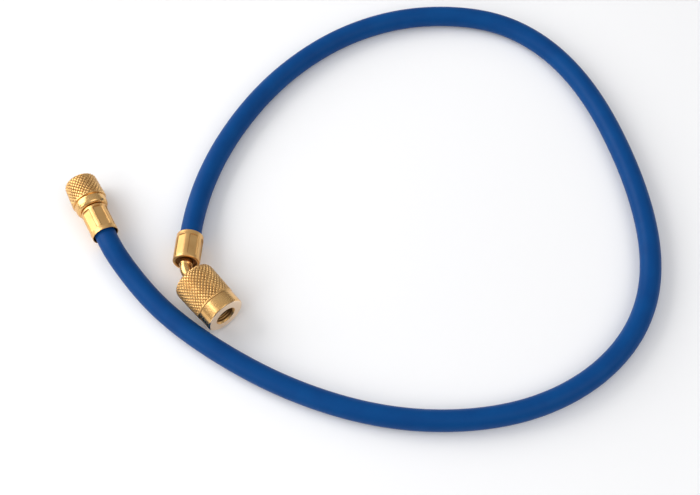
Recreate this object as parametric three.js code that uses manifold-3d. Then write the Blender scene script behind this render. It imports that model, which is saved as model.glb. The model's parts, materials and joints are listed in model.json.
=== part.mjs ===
// Refrigerant charging hose: a rubber hose with a crimped brass fitting at each end.
// One fitting is straight and the other is bent by 45 degrees, and a knurled nut swivels on each.
// Millimetres, +Z up, the floor at z = 0. The bent end's mouth faces -Y.

import * as THREE from 'three';
import { mergeVertices } from 'three/addons/utils/BufferGeometryUtils.js';
import { NURBSCurve } from 'three/addons/curves/NURBSCurve.js';
import Module from 'manifold-3d';

const wasm = await Module();
wasm.setup();

// Driving dimensions
const clearance = 0.3;
const hose_diameter = 11.5;
const hose_bore = 4.8;

const ferrule_length = 17;
const ferrule_wall = 1.25;
const ferrule_end_wall = 1.8;
const ferrule_lip = 1.1;
const crimp_flats = 6;
const crimp_depth = 0.6;
const crimp_margin = 2.2;
const straight_crimp_turn = THREE.MathUtils.degToRad(20);
const angled_crimp_turn = THREE.MathUtils.degToRad(-27.5);

const stem_diameter = 6.2;
const stem_bore = 2.4;
const stem_collar_rim = 0.5;
const stem_collar_width = 1.3;
const barb_gap = 0.4;
const barb_depth = 0.25;
const barb_count = 4;
const flange_width = 4.4;

const gasket_thickness = 1.5;
const gasket_bore = 4.6;
const gasket_gap = 0.5;

const thread_bore = 10.2;
const mouth_flare = 0.8;
const mouth_chamfer = 0.9;

const straight_nut_diameter = 19.4;
const straight_nut_length = 20;
const straight_nut_mouth_depth = 7.5;
const straight_nut_taper = 0.8;
const straight_nut_rounding = 2.2;
const straight_collar_step = 0.7;
const straight_collar_width = 5.4;
const straight_collar_rounding = 2.4;

const angled_nut_diameter = 24;
const angled_nut_length = 29.5;
const angled_nut_mouth_depth = 9;
const angled_nut_taper = 0.7;
const angled_nut_dome = 4.2;
const band_step = 0.3;
const band_width = 8.2;
const rim_chamfer = 0.6;

const bend_angle = THREE.MathUtils.degToRad(45);
const bend_radius = 8;
const stem_neck = 5;
const nut_to_bend = 5.5;

const depressor_pin_diameter = 1.6;
const depressor_head_diameter = 3;
const depressor_head_width = 1.2;
const depressor_projection = 2.6;
const depressor_tip_chamfer = 0.3;

// Where the two ends lie: the straight fitting's hose end, and the corner of the bent fitting
const straight_end = new THREE.Vector3(-133.1, 99, straight_nut_diameter / 2);
const straight_heading = THREE.MathUtils.degToRad(76.5);
const bend_corner = new THREE.Vector3(-114.4, 52.8, angled_nut_diameter / 2);
const ferrule_tilt = THREE.MathUtils.degToRad(8);

// The hose's route over the floor, from the straight end to the bent end: x, y and lift off the floor
const route = [
  [-136.5, 78.8, 1.6],
  [-137.5, 52.8, 0],
  [-134, 27.3, 0],
  [-127.5, 2.3, 0],
  [-119, -22.2, 0],
  [-108, -45.2, 0],
  [-94.5, -67.2, 0],
  [-78, -87.2, 0],
  [-59, -104.2, 0],
  [-37, -118.7, 0],
  [-13, -128.2, 0],
  [12.5, -132.2, 0],
  [38.5, -129.7, 0],
  [62.5, -119.7, 0],
  [82.5, -103.2, 0],
  [98.5, -82.7, 0],
  [111.5, -60.7, 0],
  [122.5, -37.2, 0],
  [131.5, -13.2, 0],
  [137, 12.3, 0],
  [137, 38.3, 0],
  [129.5, 63.3, 0],
  [113.5, 83.8, 0],
  [93.5, 100.3, 0],
  [70.5, 111.8, 0],
  [45.5, 118.3, 0],
  [19.5, 119.8, 0],
  [-6, 117.3, 0],
  [-31, 110.8, 0],
  [-55, 101.3, 0],
  [-77, 88.3, 0],
];
const hose_steps = 64;
const hose_sides = 12;
const turned_sides = 48;

// Worked out from the dimensions above
const hose_radius = hose_diameter / 2;
const ferrule_diameter = hose_diameter + 2 * (clearance + ferrule_wall);
const crimp_across_flats = ferrule_diameter - 2 * crimp_depth;
const barb_diameter = hose_bore - 2 * barb_gap;
const flange_diameter = thread_bore - 2 * clearance;
const gasket_diameter = thread_bore - 2 * gasket_gap;
const mouth_diameter = thread_bore + 2 * mouth_flare;
const hose_end_in_ferrule = ferrule_length - ferrule_end_wall - clearance;
const end_point_spacing = 8;
const straight_axis = new THREE.Vector3(Math.cos(straight_heading), Math.sin(straight_heading), 0);
const mouth_axis = new THREE.Vector3(0, -1, 0);
const plan_turn = Math.acos(Math.cos(bend_angle) / Math.cos(ferrule_tilt));
const ferrule_axis = new THREE.Vector3(
  -Math.sin(plan_turn) * Math.cos(ferrule_tilt),
  -Math.cos(plan_turn) * Math.cos(ferrule_tilt),
  Math.sin(ferrule_tilt),
);
const angled_end = bend_corner.clone().addScaledVector(ferrule_axis, -(stem_neck + ferrule_length));

// Materials
const blue_rubber = new THREE.MeshStandardMaterial({ color: 0x0b4f9c, roughness: 0.45, metalness: 0 });
const brass = new THREE.MeshStandardMaterial({ color: 0xc8964a, roughness: 0.3, metalness: 1 });
const black_rubber = new THREE.MeshStandardMaterial({ color: 0x1c1c1e, roughness: 0.7, metalness: 0 });

// A closed geometry as a solid for cutting and joining
function solid(geometry) {
  const bare = geometry.clone();
  bare.deleteAttribute('normal');
  bare.deleteAttribute('uv');
  const merged = mergeVertices(bare, 1e-4);
  return new wasm.Manifold(new wasm.Mesh({
    numProp: 3,
    vertProperties: merged.attributes.position.array,
    triVerts: new Uint32Array(merged.index.array),
  }));
}

function geometry_of(body) {
  const mesh = body.getMesh();
  const geometry = new THREE.BufferGeometry();
  geometry.setAttribute('position', new THREE.BufferAttribute(mesh.vertProperties, 3));
  geometry.setIndex(new THREE.BufferAttribute(mesh.triVerts, 1));
  geometry.computeVertexNormals();
  return geometry;
}

// A body turned about its own Y axis, from [radius, height] points that go round its section
function turned(points, sides = turned_sides) {
  const loop = [...points, points[0]].map(([radius, height]) => new THREE.Vector2(radius, height));
  return new THREE.LatheGeometry(loop, sides);
}

function rod(diameter, low, high, sides) {
  return new THREE.CylinderGeometry(diameter / 2, diameter / 2, high - low, sides)
    .translate(0, (low + high) / 2, 0);
}

// Sets a group's own Y axis along a direction, with its own X axis kept level
function aim(group, place, direction) {
  const y_axis = direction.clone().normalize();
  const x_axis = new THREE.Vector3().crossVectors(y_axis, new THREE.Vector3(0, 0, 1)).normalize();
  const z_axis = new THREE.Vector3().crossVectors(x_axis, y_axis);
  group.quaternion.setFromRotationMatrix(new THREE.Matrix4().makeBasis(x_axis, y_axis, z_axis));
  group.position.copy(place);
}

function part(name, geometry, material) {
  const mesh = new THREE.Mesh(geometry, material);
  mesh.name = name;
  return mesh;
}

// Evenly weighted cubic spline that starts and ends on its outer points
function smooth_curve(points) {
  const degree = 3;
  const knots = [];
  const spans = points.length - degree;
  for (let i = 0; i < points.length + degree + 1; i += 1) {
    knots.push(Math.min(Math.max(i - degree, 0), spans) / spans);
  }
  return new NURBSCurve(degree, knots, points.map((p) => new THREE.Vector4(p.x, p.y, p.z, 1)));
}

// Points on a fitting's axis, spaced so that the hose is straight inside its ferrule
function points_in_ferrule(mouth, axis) {
  const points = [];
  for (let i = 0; i < 4; i += 1) {
    points.push(mouth.clone().addScaledVector(axis, hose_end_in_ferrule - i * end_point_spacing));
  }
  return points;
}

function hose_geometry() {
  const points = [
    ...points_in_ferrule(straight_end, straight_axis),
    ...route.map(([x, y, lift]) => new THREE.Vector3(x, y, hose_radius + lift)),
    ...points_in_ferrule(angled_end, ferrule_axis).reverse(),
  ];
  const curve = smooth_curve(points);
  curve.arcLengthDivisions = 1200;
  const section = new THREE.Shape().absarc(0, 0, hose_radius, 0, 2 * Math.PI, false);
  section.holes.push(new THREE.Path().absarc(0, 0, hose_bore / 2, 0, 2 * Math.PI, true));
  return new THREE.ExtrudeGeometry(section, {
    steps: hose_steps,
    curveSegments: hose_sides / 2,
    extrudePath: curve,
  });
}

// Crimped sleeve: open at y = 0 for the hose, with an end wall that holds the stem
function ferrule_geometry(crimp_turn) {
  const outer = ferrule_diameter / 2;
  const bore = hose_radius + clearance;
  const stem_hole = stem_diameter / 2 + clearance;
  const body = solid(turned([
    [bore + ferrule_lip / 3, 0],
    [outer - ferrule_lip / 4, 0],
    [outer, ferrule_lip / 2],
    [outer, ferrule_length - ferrule_lip / 2],
    [outer - ferrule_lip / 2, ferrule_length],
    [stem_hole, ferrule_length],
    [stem_hole, ferrule_length - ferrule_end_wall],
    [bore, ferrule_length - ferrule_end_wall],
    [bore, ferrule_lip / 3],
  ]));
  const flat_length = ferrule_length - 2 * crimp_margin;
  const cutters = [];
  for (let i = 0; i < crimp_flats; i += 1) {
    const block = new THREE.BoxGeometry(ferrule_diameter, flat_length, ferrule_diameter);
    block.translate(0, ferrule_length / 2, (ferrule_diameter + crimp_across_flats) / 2);
    block.rotateY(crimp_turn + (i * 2 * Math.PI) / crimp_flats);
    cutters.push(solid(block));
  }
  return geometry_of(body.subtract(wasm.Manifold.union(cutters)));
}

// Ridges that grip the hose's bore, as [radius, height] points from low to high
function barb_points(low, high) {
  const pitch = (high - low) / barb_count;
  const crest = barb_diameter / 2;
  const root = crest - barb_depth;
  const points = [];
  for (let i = 0; i < barb_count; i += 1) {
    points.push([root, low + i * pitch]);
    points.push([crest, low + (i + 0.7) * pitch]);
    points.push([crest, low + (i + 0.9) * pitch]);
  }
  points.push([root, high]);
  return points;
}

// Straight stem in the ferrule's own frame: barb, neck, and the flange that the nut pulls on
function straight_stem_geometry() {
  const bore = stem_bore / 2;
  const neck = stem_diameter / 2;
  const flange = flange_diameter / 2;
  const shoulder = hose_end_in_ferrule + clearance;
  const flange_low = straight_gasket_low() - clearance - flange_width;
  return turned([
    [bore, ferrule_lip],
    ...barb_points(ferrule_lip, shoulder),
    [neck, shoulder],
    [neck, flange_low],
    [flange, flange_low],
    [flange, flange_low + flange_width],
    [bore, flange_low + flange_width],
  ]);
}

function straight_nut_low() {
  return ferrule_length + clearance;
}

function straight_gasket_low() {
  return straight_nut_low() + straight_nut_length - straight_nut_mouth_depth - gasket_thickness;
}

function angled_gasket_low() {
  return angled_nut_length - angled_nut_mouth_depth - gasket_thickness;
}

function gasket_geometry(low) {
  return turned([
    [gasket_bore / 2, low],
    [gasket_diameter / 2, low],
    [gasket_diameter / 2, low + gasket_thickness],
    [gasket_bore / 2, low + gasket_thickness],
  ]);
}

// The nut's hollow, from the mouth at the top down to its hole for the stem
function nut_hollow(length, mouth_depth) {
  const shoulder = length - mouth_depth - gasket_thickness - flange_width - 2 * clearance;
  return [
    [mouth_diameter / 2, length],
    [thread_bore / 2, length - mouth_chamfer],
    [thread_bore / 2, shoulder],
    [stem_diameter / 2 + clearance, shoulder],
    [stem_diameter / 2 + clearance, 0],
  ];
}

// A quarter round between a flat end and a side, as [radius, height] points
function quarter_round(side, height, rounding, rises, steps) {
  const points = [];
  for (let i = 0; i <= steps; i += 1) {
    const angle = (Math.PI / 2) * (i / steps);
    points.push([
      side - rounding * (1 - Math.sin(angle)),
      height + (rises ? 1 : -1) * rounding * (1 - Math.cos(angle)),
    ]);
  }
  return rises ? points : points.reverse();
}

// Straight nut: smooth collar behind, a knurled grip that narrows to the mouth at y = its length
function straight_nut_geometry() {
  const grip = straight_nut_diameter / 2;
  const collar = grip - straight_collar_step;
  const length = straight_nut_length;
  return turned([
    ...quarter_round(collar, 0, straight_collar_rounding, true, 5),
    [collar, straight_collar_width - straight_collar_step],
    [grip, straight_collar_width],
    ...quarter_round(grip - straight_nut_taper, length, straight_nut_rounding, false, 5),
    ...nut_hollow(length, straight_nut_mouth_depth),
  ]);
}

// Angled nut: domed back, long knurled grip, a smooth band and the flat rim round its mouth
function angled_nut_geometry() {
  const grip = angled_nut_diameter / 2;
  const grip_end = grip - angled_nut_taper;
  const band = grip_end - band_step;
  const length = angled_nut_length;
  const band_low = length - band_width;
  return turned([
    ...quarter_round(grip, 0, angled_nut_dome, true, 6),
    [grip_end, band_low],
    [band, band_low + band_step],
    [band, length - rim_chamfer],
    [band - rim_chamfer, length],
    ...nut_hollow(length, angled_nut_mouth_depth),
  ]);
}

// Line through the bent stem, in row millimetres: up the ferrule, round the corner, to the mouth
function bent_line(start, end) {
  const reach = bend_radius * Math.tan(bend_angle / 2);
  const into = bend_corner.clone().addScaledVector(ferrule_axis, -reach);
  const out_of = bend_corner.clone().addScaledVector(mouth_axis, reach);
  const line = new THREE.CurvePath();
  line.add(new THREE.LineCurve3(start, into));
  line.add(new THREE.QuadraticBezierCurve3(into, bend_corner.clone(), out_of));
  line.add(new THREE.LineCurve3(out_of, end));
  return line;
}

function swept(diameter, line, steps, sides) {
  const section = new THREE.Shape().absarc(0, 0, diameter / 2, 0, 2 * Math.PI, false);
  return new THREE.ExtrudeGeometry(section, { steps, curveSegments: sides / 2, extrudePath: line });
}

// The bent stem is one piece: barb and collar at the ferrule, bent neck, flange inside the nut
function angled_stem_geometry() {
  const ferrule_side = new THREE.Group();
  aim(ferrule_side, angled_end, ferrule_axis);
  ferrule_side.updateMatrix();
  const nut_side = new THREE.Group();
  aim(nut_side, angled_nut_back(), mouth_axis);
  nut_side.updateMatrix();

  const shoulder = hose_end_in_ferrule + clearance;
  const collar_low = ferrule_length + clearance;
  const collar_high = collar_low + stem_collar_width;
  const flange_low = angled_gasket_low() - clearance - flange_width;
  const flange_high = flange_low + flange_width;
  const barb = new THREE.LatheGeometry([
    [0, ferrule_lip],
    ...barb_points(ferrule_lip, shoulder),
    [stem_diameter / 2, shoulder],
    [stem_diameter / 2, collar_low],
    [stem_diameter / 2 + stem_collar_rim, collar_low],
    [stem_diameter / 2 + stem_collar_rim, collar_high],
    [0, collar_high],
  ].map(([radius, height]) => new THREE.Vector2(radius, height)), turned_sides);
  const flange = rod(flange_diameter, flange_low, flange_high, turned_sides);

  const neck_start = angled_end.clone().addScaledVector(ferrule_axis, collar_low);
  const neck_end = angled_nut_back().addScaledVector(mouth_axis, (flange_low + flange_high) / 2);
  const neck = swept(stem_diameter, bent_line(neck_start, neck_end), 20, 24);
  const bore_start = angled_end.clone().addScaledVector(ferrule_axis, ferrule_lip - 1);
  const bore_end = angled_nut_back().addScaledVector(mouth_axis, flange_high + 1);
  const bore = swept(stem_bore, bent_line(bore_start, bore_end), 24, 12);
  const seat_diameter = depressor_head_diameter + 2 * clearance;
  const seat_low = flange_high - clearance - depressor_head_width;
  const seat = rod(seat_diameter, seat_low, flange_high + 1, 24);

  return geometry_of(
    solid(barb.applyMatrix4(ferrule_side.matrix))
      .add(solid(flange.applyMatrix4(nut_side.matrix)))
      .add(solid(neck))
      .subtract(solid(bore))
      .subtract(solid(seat.applyMatrix4(nut_side.matrix))),
  );
}

function angled_nut_back() {
  return bend_corner.clone().addScaledVector(mouth_axis, nut_to_bend);
}

// Core depressor: a head that sits in the stem's nose and a pin towards the mouth
function depressor_geometry() {
  const nose = angled_gasket_low() - clearance;
  const head = depressor_head_diameter / 2;
  const pin = depressor_pin_diameter / 2;
  const tip = angled_gasket_low() + gasket_thickness + depressor_projection;
  return new THREE.LatheGeometry([
    [0, nose - depressor_head_width],
    [head, nose - depressor_head_width],
    [head, nose],
    [pin, nose + head - pin],
    [pin, tip - depressor_tip_chamfer],
    [pin - depressor_tip_chamfer, tip],
    [0, tip],
  ].map(([radius, height]) => new THREE.Vector2(radius, height)), 24);
}

const charging_hose = new THREE.Group();
charging_hose.add(part('hose', hose_geometry(), blue_rubber));

const straight_fitting = new THREE.Group();
aim(straight_fitting, straight_end, straight_axis);
straight_fitting.add(part('straight_ferrule', ferrule_geometry(straight_crimp_turn), brass));
straight_fitting.add(part('straight_stem', straight_stem_geometry(), brass));
straight_fitting.add(part('straight_gasket', gasket_geometry(straight_gasket_low()), black_rubber));
const straight_nut = part('straight_nut', straight_nut_geometry(), brass);
straight_nut.position.y = straight_nut_low();
straight_fitting.add(straight_nut);
charging_hose.add(straight_fitting);

const angled_sleeve = new THREE.Group();
aim(angled_sleeve, angled_end, ferrule_axis);
angled_sleeve.add(part('angled_ferrule', ferrule_geometry(angled_crimp_turn), brass));
charging_hose.add(angled_sleeve);
charging_hose.add(part('angled_stem', angled_stem_geometry(), brass));

const angled_mouth = new THREE.Group();
aim(angled_mouth, angled_nut_back(), mouth_axis);
angled_mouth.add(part('angled_nut', angled_nut_geometry(), brass));
angled_mouth.add(part('angled_gasket', gasket_geometry(angled_gasket_low()), black_rubber));
angled_mouth.add(part('core_depressor', depressor_geometry(), brass));
charging_hose.add(angled_mouth);

export default charging_hose;
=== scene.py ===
"""A refrigerant charging hose with knurled brass fittings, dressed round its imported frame."""

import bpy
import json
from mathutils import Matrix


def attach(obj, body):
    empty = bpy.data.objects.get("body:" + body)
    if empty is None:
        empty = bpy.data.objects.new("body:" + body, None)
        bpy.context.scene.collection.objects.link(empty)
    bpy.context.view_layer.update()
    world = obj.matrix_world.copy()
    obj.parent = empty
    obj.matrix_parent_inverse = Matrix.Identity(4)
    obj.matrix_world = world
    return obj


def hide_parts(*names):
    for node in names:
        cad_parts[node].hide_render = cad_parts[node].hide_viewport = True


bl_info = {
    "name": "Charging Hose",
    "version": (1, 0, 0),
    "blender": (4, 5, 0),
    "location": "3D View > Sidebar > Charging Hose",
    "description": "Builds a refrigerant charging hose with a straight and a bent brass fitting",
    "category": "Add Mesh",
}

import json
import math

import bpy
import numpy as np
from bpy.props import FloatProperty, FloatVectorProperty, IntProperty, PointerProperty
from mathutils import Matrix, Vector

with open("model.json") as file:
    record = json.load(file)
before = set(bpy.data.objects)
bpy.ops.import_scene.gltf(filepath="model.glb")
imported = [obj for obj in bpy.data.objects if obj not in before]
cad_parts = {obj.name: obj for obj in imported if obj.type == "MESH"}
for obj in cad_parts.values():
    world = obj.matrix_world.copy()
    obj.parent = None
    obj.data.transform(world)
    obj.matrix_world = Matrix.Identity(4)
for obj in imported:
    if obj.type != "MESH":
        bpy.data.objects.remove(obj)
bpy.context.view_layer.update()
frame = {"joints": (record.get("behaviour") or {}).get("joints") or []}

MM = 0.001
JOINTS = {joint["name"]: joint for joint in frame["joints"]}
STRAIGHT_MOUTH = Vector(JOINTS["straight_nut_swivel"]["pos_m"])
STRAIGHT_AXIS = Vector(JOINTS["straight_nut_swivel"]["axis"]).normalized()
ANGLED_MOUTH = Vector(JOINTS["angled_nut_swivel"]["pos_m"])
ANGLED_AXIS = Vector(JOINTS["angled_nut_swivel"]["axis"]).normalized()
UP = Vector((0, 0, 1))

# The hose's line over the floor, from the straight end to the bent end: x, y and lift in millimetres
ROUTE = (
    (-136.5, 78.8, 1.6), (-137.5, 52.8, 0), (-134, 27.3, 0), (-127.5, 2.3, 0), (-119, -22.2, 0),
    (-108, -45.2, 0), (-94.5, -67.2, 0), (-78, -87.2, 0), (-59, -104.2, 0), (-37, -118.7, 0),
    (-13, -128.2, 0), (12.5, -132.2, 0), (38.5, -129.7, 0), (62.5, -119.7, 0), (82.5, -103.2, 0),
    (98.5, -82.7, 0), (111.5, -60.7, 0), (122.5, -37.2, 0), (131.5, -13.2, 0), (137, 12.3, 0),
    (137, 38.3, 0), (129.5, 63.3, 0), (113.5, 83.8, 0), (93.5, 100.3, 0), (70.5, 111.8, 0),
    (45.5, 118.3, 0), (19.5, 119.8, 0), (-6, 117.3, 0), (-31, 110.8, 0), (-55, 101.3, 0),
    (-77, 88.3, 0),
)


def length(name, millimetres, description):
    return FloatProperty(
        name=name, description=description, default=millimetres * MM, precision=5, unit="LENGTH"
    )


def angle(name, degrees, description):
    return FloatProperty(
        name=name, description=description, default=math.radians(degrees), unit="ROTATION"
    )


def colour(name, rgb, description):
    return FloatVectorProperty(
        name=name, description=description, default=rgb, subtype="COLOR", size=3, min=0, max=1
    )


class HoseSizes(bpy.types.PropertyGroup):
    diameter: length("Diameter", 11.5, "Outside diameter of the hose")
    bore: length("Bore", 4.8, "Diameter of the hole through the hose")
    depth_in_ferrule: length("Depth in ferrule", 14.9, "How far the hose reaches into each ferrule")
    end_point_spacing: length("End point spacing", 8, "Step between the line's points in a ferrule")


class FerruleSizes(bpy.types.PropertyGroup):
    length: length("Length", 17, "Length of each crimp sleeve")
    diameter: length("Diameter", 14.6, "Diameter over the sleeve's lips")
    ridge_diameter: length("Over ridges", 14.9, "Diameter over the ridges between the crimped flats")
    across_flats: length("Across flats", 13.1, "Distance between two opposite crimped flats")
    flat_width: length("Flat width", 5.1, "Width of a crimped flat")
    flats: IntProperty(name="Flats", description="Number of crimped flats", default=6, min=3)
    hose_margin: length("Hose margin", 2.3, "Uncrimped length at the hose")
    stem_margin: length("Stem margin", 1.5, "Uncrimped length at the stem")
    straight_turn: angle("Straight turn", 20, "Turn of the straight ferrule's flats")
    angled_turn: angle("Angled turn", -27.5, "Turn of the bent fitting's flats")


class StemSizes(bpy.types.PropertyGroup):
    diameter: length("Diameter", 6.2, "Diameter of each stem")
    bore: length("Bore", 2.4, "Diameter of the hole through each stem")
    flange_diameter: length("Flange diameter", 9.6, "Diameter of the flange in the nut")
    flange_width: length("Flange width", 4.4, "Thickness of the flange in the nut")
    bend: angle("Bend", 45, "Angle between the bent stem's two straight parts")
    tilt: angle("Tilt", 8, "How far the bent fitting's sleeve points up")
    bend_radius: length("Bend radius", 8, "Size of the round at the bend")
    neck: length("Neck", 5, "Length from the ferrule to the bend's corner")
    nut_to_bend: length("Nut to bend", 5.5, "Length from the nut to the bend's corner")


class NutSizes(bpy.types.PropertyGroup):
    straight_diameter: length("Straight nut", 19.4, "Diameter of the straight fitting's nut")
    straight_length: length("Straight nut length", 20, "Length of the straight fitting's nut")
    straight_collar: length("Straight collar", 5.4, "Width of the smooth collar behind the grip")
    straight_depth: length("Straight depth", 7.5, "Depth from the straight nut's face to its seal")
    angled_diameter: length("Bent fitting's nut", 24, "Diameter of the bent fitting's nut")
    angled_length: length("Bent fitting's nut length", 29.5, "Length of the bent fitting's nut")
    angled_band: length("Band", 8.2, "Width of the smooth band at the bent fitting's nut's face")
    angled_depth: length("Depth", 9, "Depth from the bent fitting's nut's face to its seal")
    thread_bore: length("Thread bore", 10.2, "Diameter over the crests of the inner thread")
    thread_depth: length("Thread depth", 0.45, "Depth of the inner thread")
    thread_pitch: length("Thread pitch", 1.27, "Step of the inner thread")
    knurl_pitch: length("Knurl pitch", 2.35, "Step of the knurl round the nut")
    knurl_depth: length("Knurl depth", 0.42, "Depth of the knurl's grooves")
    gap: length("Gap", 0.3, "Play between the nut and the ferrule")


class SealSizes(bpy.types.PropertyGroup):
    thickness: length("Thickness", 1.5, "Thickness of the seal ring")
    diameter: length("Diameter", 9.2, "Outside diameter of the seal ring")
    bore: length("Bore", 4.6, "Inside diameter of the seal ring")
    pin_diameter: length("Pin diameter", 1.6, "Diameter of the core depressor's pin")
    pin_reach: length("Pin reach", 2.6, "How far the pin stands out of the seal ring")


class Finishes(bpy.types.PropertyGroup):
    blue: colour("Blue rubber", (0.001, 0.060, 0.225), "Colour of the hose")
    brass: colour("Brass", (0.80, 0.49, 0.19), "Colour of the turned brass")
    # Pale brass for the bent nut's end face: partly freshly machined metal, partly a painted reflection
    # of the floor.
    faced_with_reflection: colour("Faced brass", (0.93, 0.72, 0.52), "Colour of the freshly faced nut end")
    # Near-black brass for hollows, grooves and bores: partly oxide, partly painted shade.
    tarnish_and_shade: colour("Tarnish", (0.13, 0.045, 0.008), "Colour of the brass in its hollows")
    seal: colour("Seal", (0.012, 0.012, 0.013), "Colour of the seal rings")
    floor: colour("Floor", (0.96, 0.96, 0.96), "Colour of the studio floor")


class ChargingHoseSettings(bpy.types.PropertyGroup):
    hose: PointerProperty(type=HoseSizes)
    ferrule: PointerProperty(type=FerruleSizes)
    stem: PointerProperty(type=StemSizes)
    nut: PointerProperty(type=NutSizes)
    seal: PointerProperty(type=SealSizes)
    finish: PointerProperty(type=Finishes)


# Places that follow from the sizes

def straight_lip(settings):
    """Middle of the straight ferrule's lip, where the hose goes in."""
    reach = settings.nut.straight_length + settings.nut.gap + settings.ferrule.length
    return STRAIGHT_MOUTH - STRAIGHT_AXIS * reach


def bend_corner(settings):
    back = ANGLED_MOUTH - ANGLED_AXIS * settings.nut.angled_length
    return back - ANGLED_AXIS * settings.stem.nut_to_bend


def sleeve_axis(settings):
    """Direction of the bent fitting's ferrule, from the hose to the bend."""
    tilt = settings.stem.tilt
    turn = math.acos(math.cos(settings.stem.bend) / math.cos(tilt))
    return Vector((
        -math.sin(turn) * math.cos(tilt),
        -math.cos(turn) * math.cos(tilt),
        math.sin(tilt),
    ))


def angled_lip(settings):
    """Middle of the bent fitting's ferrule's lip, where the hose goes in."""
    reach = settings.stem.neck + settings.ferrule.length
    return bend_corner(settings) - sleeve_axis(settings) * reach


def seat(place, direction):
    """Matrix that sets a piece's own Y axis along a direction, with its own X axis level."""
    y_axis = direction.normalized()
    x_axis = y_axis.cross(UP).normalized()
    z_axis = x_axis.cross(y_axis)
    turn = Matrix((x_axis, y_axis, z_axis)).transposed().to_4x4()
    return Matrix.Translation(place) @ turn


# Mesh making

def section(corners, step=None, steps=6):
    """Rounds off the corners [radius, height, rounding, shade] of a closed section.

    Gives [radius, height, shade] rows; step(radius, height) is the longest stretch allowed there.
    """
    points = []
    for i, (radius, height, rounding, shade) in enumerate(corners):
        here = np.array((radius, height))
        if rounding == 0:
            points.append((*here, shade))
            continue
        before = np.array(corners[i - 1][:2]) - here
        after = np.array(corners[(i + 1) % len(corners)][:2]) - here
        start = here + before / np.linalg.norm(before) * rounding
        end = here + after / np.linalg.norm(after) * rounding
        for t in np.linspace(0, 1, steps):
            spot = start * (1 - t) ** 2 + here * 2 * t * (1 - t) + end * t ** 2
            points.append((*spot, shade))
    if step is None:
        return np.array(points)
    rows = []
    for start, end in zip(points, points[1:] + points[:1]):
        start, end = np.array(start), np.array(end)
        middle = (start + end) / 2
        count = max(1, math.ceil(np.linalg.norm((end - start)[:2]) / step(*middle[:2]) - 1e-6))
        rows.extend(start + (end - start) * i / count for i in range(count))
    return np.array(rows)


def along(rows):
    """Distance along a section's rows, from its first one."""
    steps = np.linalg.norm(np.diff(rows[:, :2], axis=0), axis=1)
    return np.concatenate(([0], np.cumsum(steps)))


def skin(name, rings, shade=None):
    """Closed mesh through rings[i][j], joined round each ring and from the last ring to the first.

    shade runs from -1 on the freshly machined end face, painted paler as a painted reflection, through 0
    to 1 in dark hollows, painted shade mixed with oxide.
    """
    count, sides = rings.shape[:2]
    i, j = np.meshgrid(np.arange(count), np.arange(sides), indexing="ij")
    number = i * sides + j
    pole = np.ptp(rings, axis=1).max(axis=1) < 1e-9
    number[pole] = number[pole][:, :1]
    a = number
    b = np.roll(number, -1, axis=1)
    c = np.roll(b, -1, axis=0)
    d = np.roll(a, -1, axis=0)
    points = rings.reshape(-1, 3)
    across_ac = np.linalg.norm(points[a] - points[c], axis=2)
    across_bd = np.linalg.norm(points[b] - points[d], axis=2)
    fold_ac = (across_ac <= across_bd)[..., None]
    first = np.where(fold_ac, np.stack((a, b, c), -1), np.stack((a, b, d), -1))
    second = np.where(fold_ac, np.stack((a, c, d), -1), np.stack((b, c, d), -1))
    faces = np.concatenate((first.reshape(-1, 3), second.reshape(-1, 3)))
    x, y, z = faces.T
    faces = faces[(x != y) & (y != z) & (z != x)]
    corners = points[faces]
    volume = np.einsum("ij,ij->i", corners[:, 0], np.cross(corners[:, 1], corners[:, 2])).sum()
    if volume < 0:
        faces = faces[:, ::-1]
    used, faces = np.unique(faces, return_inverse=True)
    faces = faces.reshape(-1, 3)
    mesh = bpy.data.meshes.new(name)
    mesh.from_pydata(points[used].tolist(), [], faces.tolist())
    shades = np.zeros(count * sides) if shade is None else np.asarray(shade, float).reshape(-1)
    layer = mesh.attributes.new("shade", "FLOAT", "POINT")
    layer.data.foreach_set("value", np.clip(shades[used], -1, 1).astype(np.float32))
    mesh.shade_smooth()
    mesh.set_sharp_from_angle(angle=math.radians(38))
    mesh.update()
    return mesh


def turned(name, rows, sides, relief=None):
    """Mesh turned about its own Y axis from a section's rows; relief(distance, angle) sinks its skin."""
    radius, height, shade = rows.T
    angles = np.arange(sides) * 2 * math.pi / sides
    shade = np.repeat(shade[:, None], sides, axis=1)
    sunk = np.zeros((len(rows), sides))
    if relief is not None:
        sunk, dark = relief(along(rows)[:, None], angles[None, :])
        # Each relief's darkening is painted shade in its grooves, added to the section's shade.
        shade = shade + dark
    ahead = np.roll(rows[:, :2], -1, axis=0) - rows[:, :2]
    behind = rows[:, :2] - np.roll(rows[:, :2], 1, axis=0)
    ahead /= np.maximum(np.linalg.norm(ahead, axis=1, keepdims=True), 1e-12)
    behind /= np.maximum(np.linalg.norm(behind, axis=1, keepdims=True), 1e-12)
    tangent = ahead + behind
    tangent /= np.maximum(np.linalg.norm(tangent, axis=1, keepdims=True), 1e-12)
    out, rise = tangent[:, 1:2], -tangent[:, 0:1]
    wide = radius[:, None] - sunk * out
    high = height[:, None] - sunk * rise
    rings = np.stack((wide * np.cos(angles), high, -wide * np.sin(angles)), axis=-1)
    return skin(name, rings, shade)


def swept(name, line, rows, sides):
    """Mesh round a curved line from a section's rows [radius, distance along the line, shade]."""
    radius, station, shade = rows.T
    points, side, top = line
    places = along(points)
    middle = np.stack([np.interp(station, places, points[:, k]) for k in range(3)], axis=-1)
    wide = np.stack([np.interp(station, places, side[:, k]) for k in range(3)], axis=-1)
    high = np.stack([np.interp(station, places, top[:, k]) for k in range(3)], axis=-1)
    angles = np.arange(sides) * 2 * math.pi / sides
    rings = (
        middle[:, None]
        + radius[:, None, None] * np.cos(angles)[None, :, None] * wide[:, None]
        + radius[:, None, None] * np.sin(angles)[None, :, None] * high[:, None]
    )
    return skin(name, rings, np.repeat(shade[:, None], sides, axis=1))


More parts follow.
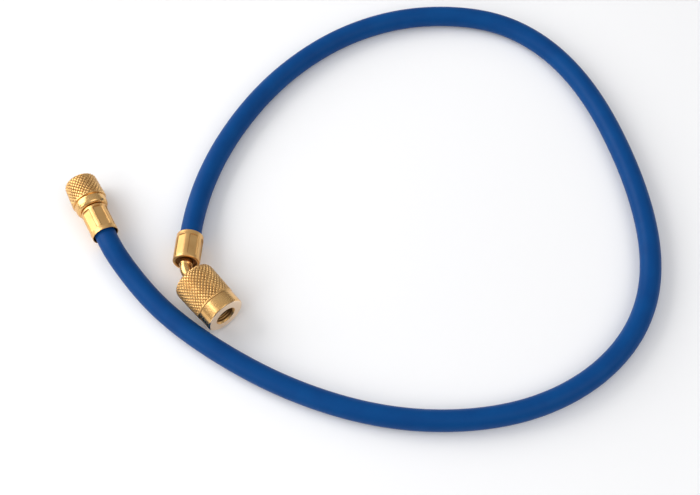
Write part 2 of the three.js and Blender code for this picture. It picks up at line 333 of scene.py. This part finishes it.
def framed(points):
    """A line's points with two directions square to it at each one, turning as little as they can."""
    tangent = np.gradient(points, axis=0)
    tangent /= np.linalg.norm(tangent, axis=1, keepdims=True)
    side = np.cross(tangent[0], (0, 0, 1))
    side /= np.linalg.norm(side)
    sides = [side]
    for direction in tangent[1:]:
        side = sides[-1] - direction * (sides[-1] @ direction)
        sides.append(side / np.linalg.norm(side))
    sides = np.array(sides)
    return points, sides, np.cross(sides, tangent)


def spline_points(control, count):
    """Points on an evenly weighted cubic spline that starts and ends on its outer control points."""
    spans = len(control) - 3
    knots = np.clip(np.arange(len(control) + 4) - 3, 0, spans).astype(float)
    made = []
    for t in np.linspace(0, spans, count):
        span = min(int(t), spans - 1) + 3
        local = [control[span - 3 + k].copy() for k in range(4)]
        for level in range(1, 4):
            for k in range(3, level - 1, -1):
                low = knots[span - 3 + k]
                high = knots[span + 1 + k - level]
                share = (t - low) / (high - low)
                local[k] = local[k - 1] * (1 - share) + local[k] * share
        made.append(local[3])
    return np.array(made)


def place(name, mesh, material, body, where=None, replaces=(), slot=None):
    """Puts a finished mesh in the scene, on the body that it moves with."""
    piece = bpy.data.objects.new(name, mesh)
    bpy.context.collection.objects.link(piece)
    if where is not None:
        piece.matrix_world = where
    mesh.materials.append(material)
    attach(piece, body)
    if replaces:
        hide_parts(*replaces)
    return piece


def smooth(low, high, value):
    t = np.clip((value - low) / (high - low), 0, 1)
    return t * t * (3 - 2 * t)


# Materials

class Nodes:
    """Short hand for building a material's nodes."""

    def __init__(self, name):
        found = bpy.data.materials.get(name)
        self.fresh = found is None
        self.material = found or bpy.data.materials.new(name)
        if self.fresh:
            self.material.use_nodes = True
            self.tree = self.material.node_tree
            self.shader = self.tree.nodes["Principled BSDF"]

    def add(self, kind, inputs=None, **settings):
        node = self.tree.nodes.new(kind)
        for key, value in settings.items():
            setattr(node, key, value)
        for key, value in (inputs or {}).items():
            self.put(node.inputs[key], value)
        return node

    def put(self, socket, value):
        if isinstance(value, bpy.types.NodeSocket):
            self.tree.links.new(value, socket)
        else:
            socket.default_value = value

    def math(self, operation, first, second=0.0):
        node = self.add("ShaderNodeMath", operation=operation)
        self.put(node.inputs[0], first)
        self.put(node.inputs[1], second)
        return node.outputs[0]

    def mix(self, share, first, second):
        node = self.add("ShaderNodeMix", data_type="RGBA")
        self.put(node.inputs[0], share)
        self.put(node.inputs[6], first)
        self.put(node.inputs[7], second)
        return node.outputs[2]

    def range(self, value, low, high, out_low, out_high):
        node = self.add("ShaderNodeMapRange", {"Value": value})
        limits = {"From Min": low, "From Max": high, "To Min": out_low, "To Max": out_high}
        for key, number in limits.items():
            node.inputs[key].default_value = number
        return node.outputs[0]

    def noise(self, vector, scale, detail=3.0, roughness=0.5):
        inputs = {"Scale": scale, "Detail": detail, "Roughness": roughness}
        node = self.add("ShaderNodeTexNoise", inputs)
        self.put(node.inputs["Vector"], vector)
        return node.outputs["Fac"]

    def object_place(self):
        return self.add("ShaderNodeTexCoord").outputs["Object"]

    def shade(self):
        return self.add("ShaderNodeAttribute", attribute_name="shade").outputs["Fac"]

    def set(self, **values):
        for key, value in values.items():
            self.put(self.shader.inputs[key.replace("_", " ")], value)


def brass(name, roughness, ring_height=0.006, ring_scale=2600, tarnish_and_shade=0.9):
    """Brass with fine turning rings and slight stains; its shade darkens it towards oxide with painted
    shade, and below nought paints the machined end face paler as a painted reflection.
    """
    nodes = Nodes(name)
    if not nodes.fresh:
        return nodes.material
    finish = bpy.context.scene.charging_hose.finish
    spot = nodes.object_place()
    parts = nodes.add("ShaderNodeSeparateXYZ", {0: spot})
    flat = nodes.add("ShaderNodeCombineXYZ", {"X": parts.outputs["X"], "Y": parts.outputs["Z"]})
    radius = nodes.add("ShaderNodeVectorMath", {0: flat.outputs[0]}, operation="LENGTH")
    run = nodes.math("ADD", parts.outputs["Y"], radius.outputs["Value"])
    rings = nodes.add(
        "ShaderNodeTexNoise", {"Scale": ring_scale, "Detail": 2.0}, noise_dimensions="1D"
    )
    nodes.put(rings.inputs["W"], run)
    stain = nodes.noise(spot, 160, 4)
    fine = nodes.noise(spot, 1400, 3)
    shade = nodes.shade()
    pale = (*finish.brass, 1)
    worn = (finish.brass[0] * 0.86, finish.brass[1] * 0.74, finish.brass[2] * 0.62, 1)
    dark = (*finish.tarnish_and_shade, 1)
    stained = nodes.mix(nodes.range(stain, 0.38, 0.72, 0, 0.55), pale, worn)
    # Painted reflection: below nought the brass turns paler, partly freshly machined metal and partly
    # the floor's reflection painted in.
    faced_with_reflection = nodes.mix(nodes.range(shade, -1, 0, 1, 0), stained, (*finish.faced_with_reflection, 1))
    # Painted shade: hollows, grooves and bores darken towards the near-black brass, partly oxide and
    # partly painted shade.
    tinted = nodes.mix(nodes.range(shade, 0.1, 1, 0, tarnish_and_shade), faced_with_reflection, dark)
    grain = nodes.range(fine, 0.3, 0.7, roughness - 0.05, roughness + 0.07)
    rough = nodes.math("ADD", grain, nodes.math("MULTIPLY", shade, 0.25))
    bump = nodes.add("ShaderNodeBump", {
        "Strength": 0.6, "Distance": ring_height * MM, "Height": rings.outputs["Fac"],
    })
    nodes.set(Base_Color=tinted, Metallic=1.0, Roughness=rough, Normal=bump.outputs[0])
    return nodes.material


def blue_rubber():
    """Satin extruded rubber with a fine grain and a faint cloudy tone."""
    nodes = Nodes("satin_hose_rubber")
    if not nodes.fresh:
        return nodes.material
    finish = bpy.context.scene.charging_hose.finish
    spot = nodes.object_place()
    grain = nodes.noise(spot, 2200, 4, 0.6)
    cloud = nodes.noise(spot, 60, 3)
    blue = (*finish.blue, 1)
    deep = (finish.blue[0], finish.blue[1] * 0.8, finish.blue[2] * 0.86, 1)
    tinted = nodes.mix(nodes.range(cloud, 0.35, 0.7, 0, 1), blue, deep)
    rough = nodes.range(grain, 0.25, 0.75, 0.36, 0.50)
    bump = nodes.add("ShaderNodeBump", {"Strength": 0.5, "Distance": 0.02 * MM, "Height": grain})
    nodes.set(Base_Color=tinted, Roughness=rough, Normal=bump.outputs[0])
    nodes.shader.inputs["Specular IOR Level"].default_value = 0.10
    return nodes.material


def seal_rubber():
    """Matt black moulded rubber."""
    nodes = Nodes("seal_rubber")
    if not nodes.fresh:
        return nodes.material
    finish = bpy.context.scene.charging_hose.finish
    spot = nodes.object_place()
    grain = nodes.noise(spot, 1800, 3)
    black = (*finish.seal, 1)
    grey = tuple(3 * value for value in finish.seal) + (1,)
    tinted = nodes.mix(nodes.range(grain, 0.4, 0.8, 0, 0.6), black, grey)
    rough = nodes.range(grain, 0.3, 0.7, 0.55, 0.75)
    bump = nodes.add("ShaderNodeBump", {"Strength": 0.4, "Distance": 0.02 * MM, "Height": grain})
    nodes.set(Base_Color=tinted, Roughness=rough, Normal=bump.outputs[0])
    return nodes.material


# Reliefs

def knurl(start, end, cell, depth, teeth, fade=0.6 * MM):
    """Diamond grooves over a section from one distance to another, with painted shade down in them."""
    groove = cell / math.sqrt(2)

    def relief(distance, turn):
        around = turn * teeth / (2 * math.pi)
        forward = (distance - start) / cell
        left = np.abs((around + forward + 0.5) % 1 - 0.5) * groove
        right = np.abs((around - forward + 0.5) % 1 - 0.5) * groove
        near = np.minimum(left, right)
        sunk = np.clip(depth - near * 1.05, 0, depth)
        inside = smooth(start, start + fade, distance) * (1 - smooth(end - fade, end, distance))
        sunk = sunk * inside
        # Painted shade: darker the deeper the groove, darkest where two grooves cross.
        pit = np.clip(1 - (left + right) / (1.1 * depth), 0, 1)
        dark = inside * (0.75 * (sunk / depth) ** 1.2 + 0.4 * pit)
        return sunk, dark

    return relief


def thread(start, end, pitch, depth):
    """Screw thread in a nut's hole, from one distance along the section to another."""

    def relief(distance, turn):
        phase = ((distance - start) / pitch + turn / (2 * math.pi)) % 1
        tooth = np.clip(1.35 * np.abs(2 * phase - 1) - 0.12, 0, 1)
        begun = smooth(start, start + pitch / 2, distance)
        inside = begun * (1 - smooth(end - pitch / 2, end, distance))
        # Painted shade in the thread's roots.
        return depth * tooth * inside, 0.35 * tooth * inside

    return relief


def both(*reliefs):
    def relief(distance, turn):
        made = [each(distance, turn) for each in reliefs]
        return sum(sunk for sunk, _ in made), sum(dark for _, dark in made)

    return relief


def crimp(rows, sizes, turn_by):
    """Rounded flat pockets pressed round a ferrule, with ridges between them."""
    outer = sizes.diameter / 2
    apothem = sizes.across_flats / 2
    swell = sizes.ridge_diameter / 2 - outer
    half_width = sizes.flat_width / 2
    low, high = sizes.hose_margin, sizes.length - sizes.stem_margin
    corner = 0.9 * MM
    wall = 0.30 * MM
    heights = rows[:, 1:2]
    outside = (rows[:, 0:1] > outer - 0.02 * MM).astype(float)
    share = 2 * math.pi / sizes.flats

    def relief(_distance, turn):
        off = (turn - turn_by + math.pi / 2 + share / 2) % share - share / 2
        across = np.abs(apothem * np.tan(off)) - half_width + corner
        endwise = np.abs(heights - (low + high) / 2) - (high - low) / 2 + corner
        beyond = np.hypot(np.maximum(across, 0), np.maximum(endwise, 0))
        reach = beyond + np.minimum(np.maximum(across, endwise), 0)
        pocket = 1 - smooth(-wall, 0, reach - corner)
        flat = outer - apothem / np.cos(off)
        risen = smooth(low - 1.2 * MM, low + 1.0 * MM, heights)
        between = risen * (1 - smooth(high - 1.0 * MM, high + 0.8 * MM, heights))
        sunk = (pocket * (flat + swell * between) - swell * between) * outside
        # Painted shadow: a thin dark line along each pocket's wall.
        edge = np.exp(-((reach - corner + wall * 0.75) / (0.2 * MM)) ** 2)
        return sunk, 0.55 * edge * outside

    return relief


# Operators

class AddHose(bpy.types.Operator):
    """Add the blue rubber hose along its route"""

    bl_idname = "charging_hose.add_hose"
    bl_label = "Hose"

    def execute(self, context):
        settings = context.scene.charging_hose
        sizes = settings.hose
        radius = sizes.diameter / 2
        straight_start, angled_start = straight_lip(settings), angled_lip(settings)
        depths = [sizes.depth_in_ferrule - i * sizes.end_point_spacing for i in range(4)]
        control = [straight_start + STRAIGHT_AXIS * depth for depth in depths]
        control += [Vector((x * MM, y * MM, lift * MM + radius)) for x, y, lift in ROUTE]
        control += [angled_start + sleeve_axis(settings) * depth for depth in reversed(depths)]
        points = spline_points(np.array(control, float), 900)
        distance = along(points)
        grid = list(np.linspace(0, distance[-1], 860))
        outer = [(radius, station, 0) for station in grid]
        inner = [(sizes.bore / 2, station, 0) for station in reversed(grid[::4])]
        mesh = swept("hose_skin", framed(points), np.array(outer + inner), 40)
        piece = place(
            "hose_skin", mesh, blue_rubber(), "hose_assembly",
            replaces=("hose",), slot="blue_rubber",
        )
        return {"FINISHED"}


class AddFerrules(bpy.types.Operator):
    """Add the crimped brass sleeve at each end of the hose"""

    bl_idname = "charging_hose.add_ferrules"
    bl_label = "Ferrules"

    def execute(self, context):
        settings = context.scene.charging_hose
        sizes = settings.ferrule
        outer = sizes.diameter / 2
        bore = settings.hose.diameter / 2 + 0.3 * MM
        hole = settings.stem.diameter / 2 + 0.3 * MM
        end = sizes.length
        # Each corner's last value is painted shade: near black down the sleeve's mouth and bore, where
        # the gap round the hose lies in shadow.
        corners = (
            (outer, 0.0, 0.16 * MM, 0.1),
            (outer, end / 2, 0, 0),
            (outer, end, 0.75 * MM, 0),
            (outer - 1.25 * MM, end, 0.3 * MM, 0.2),
            (outer - 1.75 * MM, end - 1.2 * MM, 0.3 * MM, 0.95),
            (hole, end - 1.2 * MM, 0, 1.0),
            (hole, end - 1.8 * MM, 0, 1),
            (bore, end - 1.8 * MM, 0, 1),
            (bore, 3.4 * MM, 0.4 * MM, 1),
            (outer - 0.55 * MM, 0.5 * MM, 0.2 * MM, 1),
            (outer - 0.32 * MM, 0.0, 0.1 * MM, 0.5),
        )
        fine = lambda radius, height: 0.15 * MM if radius > outer - 0.02 * MM else 0.6 * MM
        rows = section(corners, fine)
        straight, angled = straight_lip(settings), angled_lip(settings)
        axis = sleeve_axis(settings)
        ends = (
            ("straight_crimp", straight, STRAIGHT_AXIS, sizes.straight_turn, "straight_ferrule"),
            ("angled_crimp", angled, axis, sizes.angled_turn, "angled_ferrule"),
        )
        for name, lip, direction, turn_by, node in ends:
            mesh = turned(name, rows, 216, crimp(rows, sizes, turn_by))
            place(
                name, mesh, brass("crimped_brass", 0.34, 0.003), "hose_assembly",
                seat(lip, direction), (node,), "brass",
            )
        return {"FINISHED"}


class AddStems(bpy.types.Operator):
    """Add the straight stem and the bent stem"""

    bl_idname = "charging_hose.add_stems"
    bl_label = "Stems"

    def execute(self, context):
        settings = context.scene.charging_hose
        sizes = settings.stem
        neck, bore, flange = sizes.diameter / 2, sizes.bore / 2, sizes.flange_diameter / 2
        tail = 1.1 * MM
        shoulder = settings.hose.depth_in_ferrule + 0.3 * MM
        root, crest = 1.75 * MM, 2.0 * MM
        # The corners' last values are painted shade, darker over the barbs inside the hose and in the
        # bore.
        barbs = []
        pitch = (shoulder - tail) / 4
        for i in range(4):
            low = tail + i * pitch
            barbs += [
                (root, low, 0, 0.6),
                (crest, low + 0.7 * pitch, 0, 0.6),
                (crest, low + 0.9 * pitch, 0, 0.6),
            ]
        barbs.append((root, shoulder, 0, 0.8))

        lip = straight_lip(settings)
        nose = settings.ferrule.length + settings.nut.gap + settings.nut.straight_length
        nose -= settings.nut.straight_depth + settings.seal.thickness + 0.3 * MM
        corners = [(bore, tail, 0, 1), *barbs]
        corners += [
            (neck, shoulder, 0, 0.8),
            (neck, nose - sizes.flange_width, 0, 0.5),
            (flange, nose - sizes.flange_width, 0.3 * MM, 0.5),
            (flange, nose, 0.4 * MM, 0.3),
            (bore, nose, 0, 0.4),
        ]
        mesh = turned("straight_tail", section(corners, lambda r, h: 1.5 * MM), 64)
        place(
            "straight_tail", mesh, brass("turned_brass", 0.24), "hose_assembly",
            seat(lip, STRAIGHT_AXIS), ("straight_stem",), "brass",
        )

        corner, axis = bend_corner(settings), sleeve_axis(settings)
        lip = angled_lip(settings)
        nut_back = ANGLED_MOUTH - ANGLED_AXIS * settings.nut.angled_length
        nose = settings.nut.angled_length - settings.nut.angled_depth
        nose -= settings.seal.thickness + 0.3 * MM
        reach = sizes.bend_radius * math.tan(sizes.bend / 2)
        into, out_of = corner - axis * reach, corner + ANGLED_AXIS * reach
        path = [lip + axis * t for t in np.linspace(tail, (into - lip).length, 60)]
        path += [
            into * (1 - t) ** 2 + corner * 2 * t * (1 - t) + out_of * t ** 2
            for t in np.linspace(0, 1, 41)[1:]
        ]
        face = nut_back + ANGLED_AXIS * nose
        path += [out_of.lerp(face, t) for t in np.linspace(0, 1, 40)[1:]]
        points = np.array(path, float)
        total = along(points)[-1]
        start = settings.ferrule.length - tail
        barbs = [
            (radius, height - tail, rounding, shade) for radius, height, rounding, shade in barbs
        ]
        seat_radius = 1.8 * MM
        # Last values are painted shade, darker over the barbs, inside the bore and in the seat at the
        # nose.
        corners = [(bore, 0, 0, 1), *barbs]
        corners += [
            (neck, shoulder - tail, 0, 0.9),
            (neck, start - 1.0 * MM, 0, 0.9),
            (neck + 0.55 * MM, start - 0.9 * MM, 0.2 * MM, 0.5),
            (neck + 0.5 * MM, start + 1.3 * MM, 0.35 * MM, 0),
            (neck, start + 1.75 * MM, 0.3 * MM, 0.15),
            (neck, total - sizes.flange_width, 0, 0.2),
            (flange, total - sizes.flange_width, 0.3 * MM, 0.4),
            (flange, total, 0.4 * MM, 0.3),
            (seat_radius, total, 0, 0.4),
            (seat_radius, total - 1.5 * MM, 0, 1),
            (bore, total - 1.5 * MM, 0, 1),
        ]
        rows = section(corners, lambda r, h: 0.3 * MM)
        mesh = swept("bent_tail", framed(points), rows, 56)
        place(
            "bent_tail", mesh, brass("drawn_brass", 0.22, 0.0, 900), "hose_assembly",
            replaces=("angled_stem",), slot="brass",
        )
        return {"FINISHED"}


def hollow(settings, length, depth):
    """Corners of a nut's hollow, from its mouth to its hole for the stem."""
    bore = settings.nut.thread_bore / 2
    floor = length - depth - settings.seal.thickness - settings.stem.flange_width - 0.6 * MM
    hole = settings.stem.diameter / 2 + 0.3 * MM
    # Last values are painted shade, darker from the nut's mouth down its bore to the stem's hole.
    return [
        (bore + 0.8 * MM, length, 0.12 * MM, 0.1),
        (bore, length - 0.9 * MM, 0, 0.45),
        (bore, length - depth, 0, 0.9),
        (bore, floor, 0, 1),
        (hole, floor, 0, 1),
        (hole, 0, 0.15 * MM, 0.8),
    ]


class AddStraightNut(bpy.types.Operator):
    """Add the knurled nut of the straight fitting"""

    bl_idname = "charging_hose.add_straight_nut"
    bl_label = "Straight nut"

    def execute(self, context):
        settings = context.scene.charging_hose
        sizes = settings.nut
        grip, length = sizes.straight_diameter / 2, sizes.straight_length
        collar, band = grip - 0.7 * MM, sizes.straight_collar
        end = grip - 0.8 * MM
        # Last values are faint painted shade at the step from the collar to the grip.
        corners = [
            (collar - 0.2 * MM, 0, 2.2 * MM, 0.05),
            (collar, band - 1.5 * MM, 0.4 * MM, 0),
            (collar - 0.02 * MM, band - 0.2 * MM, 0, 0.05),
            (collar - 0.12 * MM, band - 0.05 * MM, 0, 0.1),
            (grip - 0.15 * MM, band + 0.15 * MM, 0.12 * MM, 0.1),
            (grip, band + 0.7 * MM, 0, 0),
            (end, length, 2.2 * MM, 0),
            *hollow(settings, length, sizes.straight_depth),
        ]
        teeth = round(math.pi * sizes.straight_diameter / sizes.knurl_pitch)
        sides = teeth * 10
        cell = math.pi * sizes.straight_diameter / teeth
        bore = sizes.thread_bore / 2
        rows = section(corners, lambda r, h: (
            cell / 10 if r > bore + 2 * MM and h > band
            else sizes.thread_pitch / 8 if r < bore + 0.1 * MM and h > length - sizes.straight_depth
            else 1.2 * MM
        ), 12)
        distance = along(rows)
        outside = np.flatnonzero((rows[:, 0] > grip - 0.2 * MM) & (rows[:, 1] > band))
        start = distance[outside[0]]
        stop = distance[np.argmax(rows[:, 1])] - 0.9 * MM
        mouth = distance[np.flatnonzero(np.isclose(rows[:, 0], bore))[0]]
        relief = both(
            knurl(start, stop, cell, sizes.knurl_depth, teeth, 1.2 * MM),
            thread(
                mouth, mouth + sizes.straight_depth - 0.9 * MM,
                sizes.thread_pitch, sizes.thread_depth,
            ),
        )
        mesh = turned("straight_grip", rows, sides, relief)
        back = straight_lip(settings) + STRAIGHT_AXIS * (settings.ferrule.length + sizes.gap)
        place(
            "straight_grip", mesh, brass("turned_brass", 0.24), "straight_nut",
            seat(back, STRAIGHT_AXIS), ("straight_nut",), "brass",
        )
        return {"FINISHED"}


class AddAngledNut(bpy.types.Operator):
    """Add the long knurled nut of the bent fitting"""

    bl_idname = "charging_hose.add_angled_nut"
    bl_label = "Bent fitting's nut"

    def execute(self, context):
        settings = context.scene.charging_hose
        sizes = settings.nut
        grip, length = sizes.angled_diameter / 2, sizes.angled_length
        end, band = grip - 0.7 * MM, length - sizes.angled_band
        ring = end - 0.3 * MM
        thread_mouth = sizes.thread_bore / 2 + 0.8 * MM
        # Last values: painted shade in the groove between grip and band, and -1 paints the machined end
        # face paler as a painted reflection.
        corners = [
            (grip - 0.2 * MM, 0, 4.2 * MM, 0),
            (end, band - 0.5 * MM, 0, 0),
            (end - 0.2 * MM, band - 0.1 * MM, 0.12 * MM, 0.2),
            (ring - 0.22 * MM, band + 0.1 * MM, 0, 0.9),
            (ring - 0.02 * MM, band + 0.3 * MM, 0, 0.2),
            (ring, band + 0.9 * MM, 0, 0),
            (ring, length - 0.6 * MM, 0.25 * MM, 0),
            (ring - 0.6 * MM, length, 0.15 * MM, -1),
            (thread_mouth + 0.15 * MM, length, 0, -1),
            *hollow(settings, length, sizes.angled_depth),
        ]
        teeth = round(math.pi * sizes.angled_diameter / sizes.knurl_pitch)
        sides = teeth * 10
        cell = math.pi * sizes.angled_diameter / teeth
        bore = sizes.thread_bore / 2
        rows = section(corners, lambda r, h: (
            cell / 10 if r > bore + 0.4 * MM and h < band
            else sizes.thread_pitch / 8 if r < bore + 0.1 * MM and h > length - sizes.angled_depth
            else 1.2 * MM
        ), 12)
        distance = along(rows)
        stop = distance[np.flatnonzero(rows[:, 1] >= band - 0.3 * MM)[0]]
        mouth = distance[np.flatnonzero(np.isclose(rows[:, 0], bore))[0]]
        relief = both(
            knurl(1.2 * MM, stop, cell, sizes.knurl_depth, teeth, 1.0 * MM),
            thread(
                mouth, mouth + sizes.angled_depth - 0.9 * MM,
                sizes.thread_pitch, sizes.thread_depth,
            ),
        )
        mesh = turned("angled_grip", rows, sides, relief)
        back = ANGLED_MOUTH - ANGLED_AXIS * length
        place(
            "angled_grip", mesh, brass("turned_brass", 0.24), "angled_nut",
            seat(back, ANGLED_AXIS), ("angled_nut",), "brass",
        )
        return {"FINISHED"}


class AddSeals(bpy.types.Operator):
    """Add the black seal ring in each nut"""

    bl_idname = "charging_hose.add_seals"
    bl_label = "Seal rings"

    def execute(self, context):
        settings = context.scene.charging_hose
        sizes = settings.seal
        inner, outer, thick = sizes.bore / 2, sizes.diameter / 2, sizes.thickness
        corners = (
            (inner, 0, 0.3 * MM, 0),
            (outer, 0, 0.35 * MM, 0),
            (outer, thick, 0.35 * MM, 0),
            (inner, thick, 0.3 * MM, 0),
        )
        rows = section(corners, lambda r, h: 0.6 * MM)
        nut = settings.nut
        ends = (
            ("straight_seal", STRAIGHT_MOUTH, STRAIGHT_AXIS, nut.straight_depth, "straight_gasket"),
            ("angled_seal", ANGLED_MOUTH, ANGLED_AXIS, nut.angled_depth, "angled_gasket"),
        )
        for name, mouth, axis, depth, node in ends:
            mesh = turned(name, rows, 64)
            back = mouth - axis * (depth + thick)
            place(
                name, mesh, seal_rubber(), "hose_assembly",
                seat(back, axis), (node,), "black_rubber",
            )
        return {"FINISHED"}


class AddDepressor(bpy.types.Operator):
    """Add the core depressor in the bent fitting's mouth"""

    bl_idname = "charging_hose.add_depressor"
    bl_label = "Core depressor"

    def execute(self, context):
        settings = context.scene.charging_hose
        pin, head = settings.seal.pin_diameter / 2, 1.5 * MM
        tip = settings.seal.thickness + settings.seal.pin_reach + 0.3 * MM
        # Last values are painted shade, darker at the pin's head deep in the nut.
        corners = (
            (0, -1.2 * MM, 0, 0.6),
            (head, -1.2 * MM, 0, 0.6),
            (head, 0, 0.2 * MM, 0.3),
            (pin, 0.55 * MM, 0.2 * MM, 0.3),
            (pin, tip, 0.3 * MM, 0),
            (0, tip, 0, 0),
        )
        depth = settings.nut.angled_depth + settings.seal.thickness + 0.3 * MM
        back = ANGLED_MOUTH - ANGLED_AXIS * depth
        mesh = turned("depressor_pin", section(corners, lambda r, h: 0.4 * MM), 32)
        place(
            "depressor_pin", mesh, brass("turned_brass", 0.24), "hose_assembly",
            seat(back, ANGLED_AXIS), ("core_depressor",), "brass",
        )
        return {"FINISHED"}


class SetStudio(bpy.types.Operator):
    """Set the camera, the pale floor and the soft lights"""

    bl_idname = "charging_hose.set_studio"
    bl_label = "Studio"

    def execute(self, context):
        scene = context.scene
        aim_at = Vector((-0.035, 0.0103, 0))
        elevation, heading, distance = math.radians(62.68), math.radians(41), 0.7070
        view = Vector((
            math.sin(heading) * math.cos(elevation),
            math.cos(heading) * math.cos(elevation),
            -math.sin(elevation),
        ))
        camera_data = bpy.data.cameras.new("camera")
        camera_data.sensor_width = 36
        camera_data.lens = 66.47
        camera = bpy.data.objects.new("camera", camera_data)
        camera.location = aim_at - view * distance
        camera.rotation_euler = view.to_track_quat("-Z", "Y").to_euler()
        scene.collection.objects.link(camera)
        scene.camera = camera

        nodes = Nodes("studio_floor")
        pale = (*scene.charging_hose.finish.floor, 1)
        dimmer = tuple(0.985 * value for value in scene.charging_hose.finish.floor) + (1,)
        cloud = nodes.noise(nodes.object_place(), 3, 2)
        tinted = nodes.mix(nodes.range(cloud, 0.3, 0.7, 0, 1), pale, dimmer)
        nodes.set(Base_Color=tinted, Roughness=0.9)
        sheet = bpy.data.meshes.new("studio_floor")
        reach = 4.0
        corners = [(-reach, -reach, 0), (reach, -reach, 0), (reach, reach, 0), (-reach, reach, 0)]
        sheet.from_pydata(corners, [], [(0, 1, 2, 3)])
        sheet.materials.append(nodes.material)
        floor = bpy.data.objects.new("studio_floor", sheet)
        scene.collection.objects.link(floor)

        lamp_distance = 1.5
        for name, direction, size, glow in (
            ("back_softbox", (-0.45, 0.75, 0.50), 1.2, 3.6),
            ("left_softbox", (-0.90, 0.05, 0.50), 0.7, 3.0),
            ("front_softbox", (0.25, -0.80, 0.95), 1.0, 1.5),
        ):
            lamp = bpy.data.lights.new(name, "AREA")
            lamp.shape = "SQUARE"
            lamp.size = size
            lamp.energy = glow * math.pi * size * size
            light = bpy.data.objects.new(name, lamp)
            toward = Vector(direction).normalized()
            light.location = toward * lamp_distance
            light.rotation_euler = (-toward).to_track_quat("-Z", "Y").to_euler()
            scene.collection.objects.link(light)

        world = bpy.data.worlds.new("studio_air")
        scene.world = world
        world.use_nodes = True
        tree = world.node_tree
        back = tree.nodes["Background"]
        spot = tree.nodes.new("ShaderNodeTexCoord")
        parts = tree.nodes.new("ShaderNodeSeparateXYZ")
        ramp = tree.nodes.new("ShaderNodeValToRGB")
        tree.links.new(spot.outputs["Generated"], parts.inputs[0])
        tree.links.new(parts.outputs["Z"], ramp.inputs[0])
        tree.links.new(ramp.outputs[0], back.inputs["Color"])
        ramp.color_ramp.elements[0].color = (0.24, 0.24, 0.25, 1)
        ramp.color_ramp.elements[1].color = (0.50, 0.50, 0.51, 1)
        back.inputs["Strength"].default_value = 1.25
        scene.view_settings.view_transform = "Standard"
        return {"FINISHED"}


class ChargingHosePanel(bpy.types.Panel):
    """Lists the pieces of the hose and their sizes"""

    bl_idname = "VIEW3D_PT_charging_hose"
    bl_label = "Charging Hose"
    bl_space_type = "VIEW_3D"
    bl_region_type = "UI"
    bl_category = "Charging Hose"

    def draw(self, context):
        layout = self.layout
        for operator in OPERATORS:
            layout.operator(operator.bl_idname)
        settings = context.scene.charging_hose
        for part in ("hose", "ferrule", "stem", "nut", "seal", "finish"):
            box = layout.box()
            box.label(text=part.capitalize())
            group = getattr(settings, part)
            for key in group.__annotations__:
                box.prop(group, key)


OPERATORS = (
    SetStudio, AddHose, AddFerrules, AddStems, AddStraightNut, AddAngledNut, AddSeals, AddDepressor,
)
GROUPS = (HoseSizes, FerruleSizes, StemSizes, NutSizes, SealSizes, Finishes, ChargingHoseSettings)


def register():
    for cls in (*GROUPS, *OPERATORS, ChargingHosePanel):
        bpy.utils.register_class(cls)
    bpy.types.Scene.charging_hose = PointerProperty(type=ChargingHoseSettings)


def unregister():
    del bpy.types.Scene.charging_hose
    for cls in reversed((*GROUPS, *OPERATORS, ChargingHosePanel)):
        bpy.utils.unregister_class(cls)


def main():
    register()
    bpy.ops.charging_hose.set_studio()
    bpy.ops.charging_hose.add_hose()
    bpy.ops.charging_hose.add_ferrules()
    bpy.ops.charging_hose.add_stems()
    bpy.ops.charging_hose.add_straight_nut()
    bpy.ops.charging_hose.add_angled_nut()
    bpy.ops.charging_hose.add_seals()
    bpy.ops.charging_hose.add_depressor()


if __name__ == "__main__":
    main()
